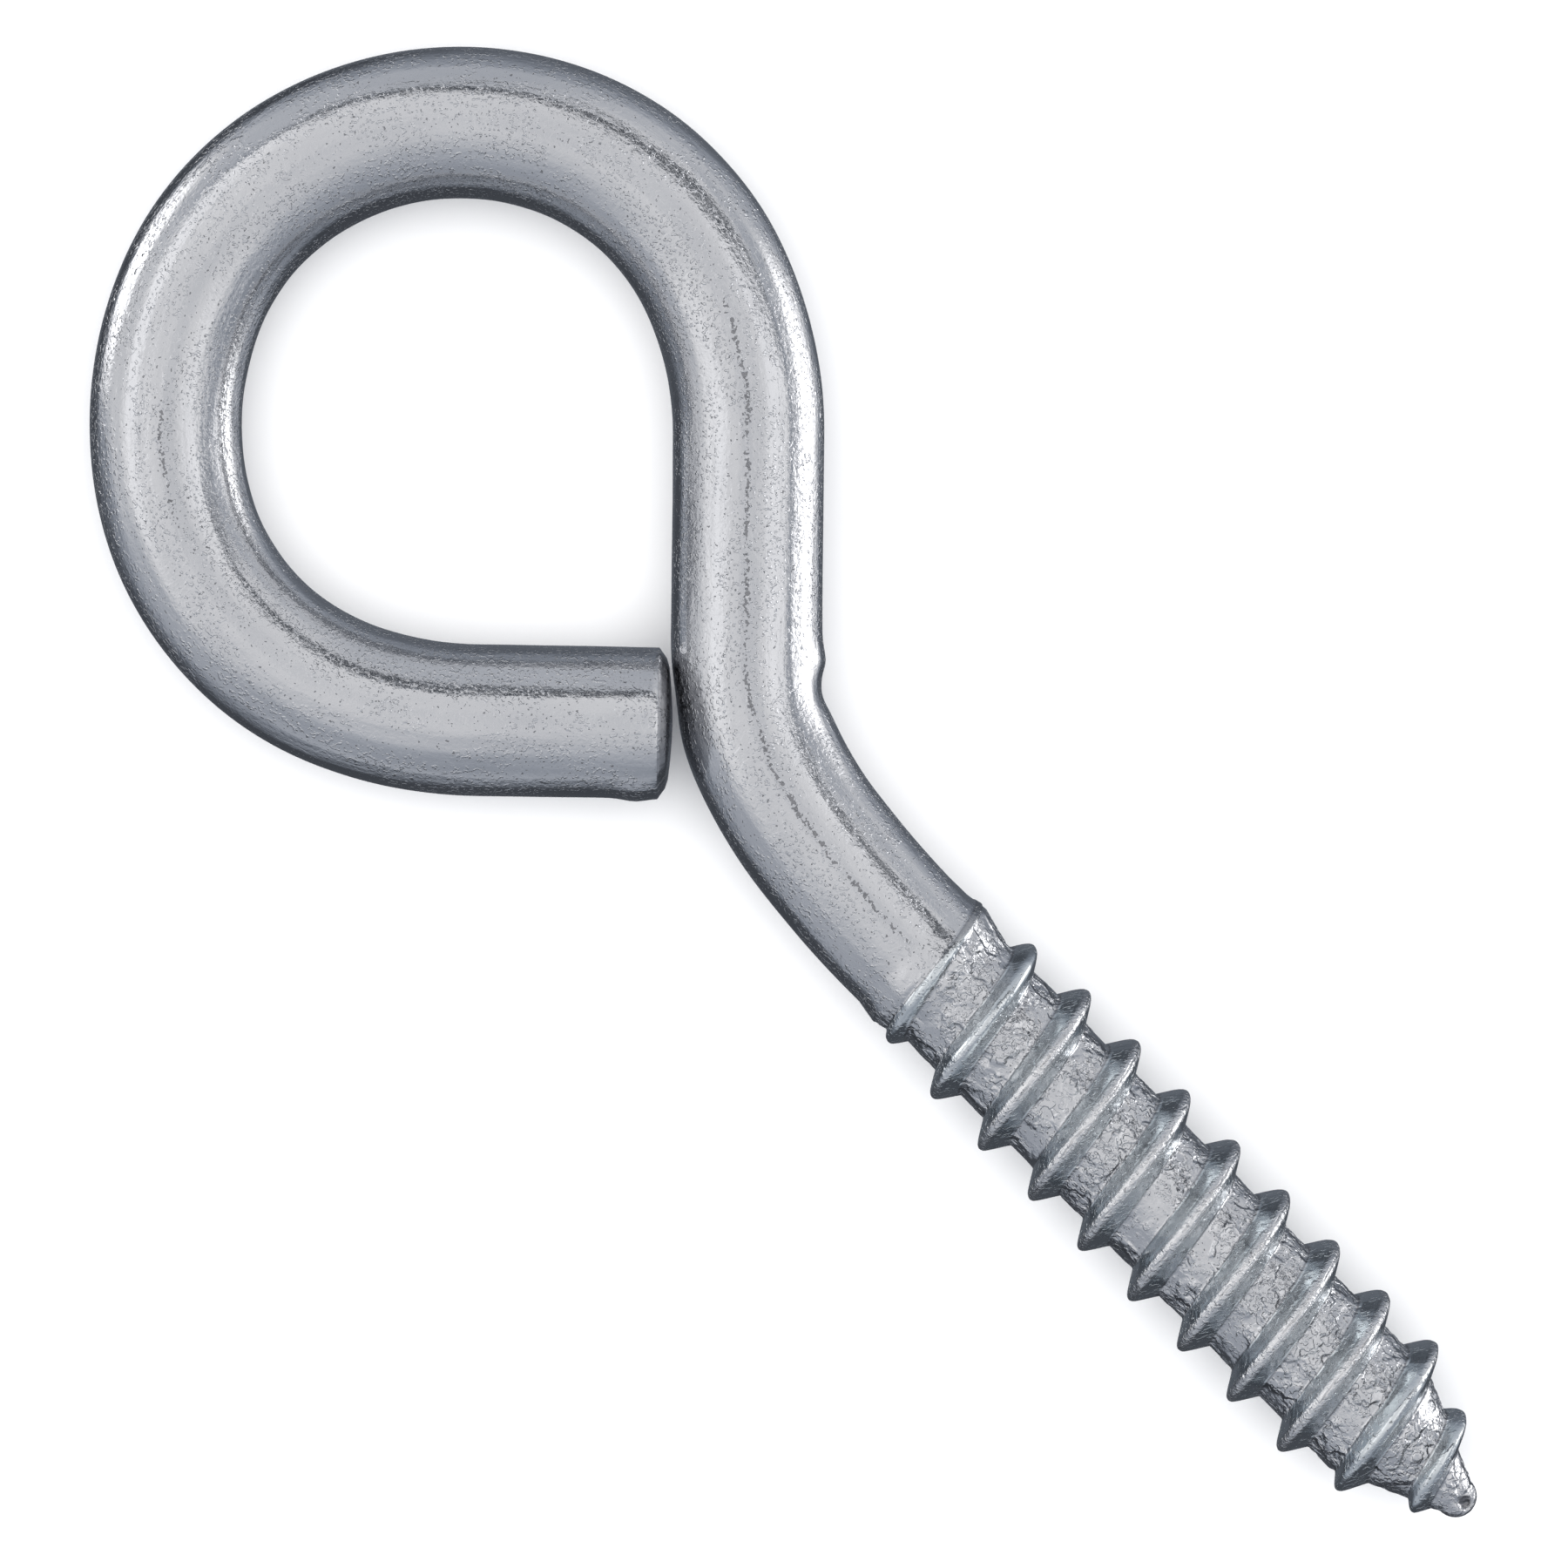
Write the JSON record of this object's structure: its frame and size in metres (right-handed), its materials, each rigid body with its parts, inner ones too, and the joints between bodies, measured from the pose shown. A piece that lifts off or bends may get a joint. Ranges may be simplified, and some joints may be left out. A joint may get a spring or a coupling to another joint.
{
  "type": "screw eye",
  "caption": "Screw eye bent from one length of zinc-plated steel wire: a closed-bend eye at one end, a coarse wood-screw thread with a rolled point at the other.",
  "frame": {"origin": "middle of the underside of the part's box, lying flat", "axes": "+X along the shank from the eye to the point, +Z along the eye's axis, +Y completes a right-handed set"},
  "size_m": [0.0956, 0.0384, 0.0097],
  "materials": {
    "zinc_plated_steel": "bright zinc plating, satin, finely grained"
  },
  "bodies": {
    "root": {"screw_eye": "zinc_plated_steel"}
  },
  "joints": []
}
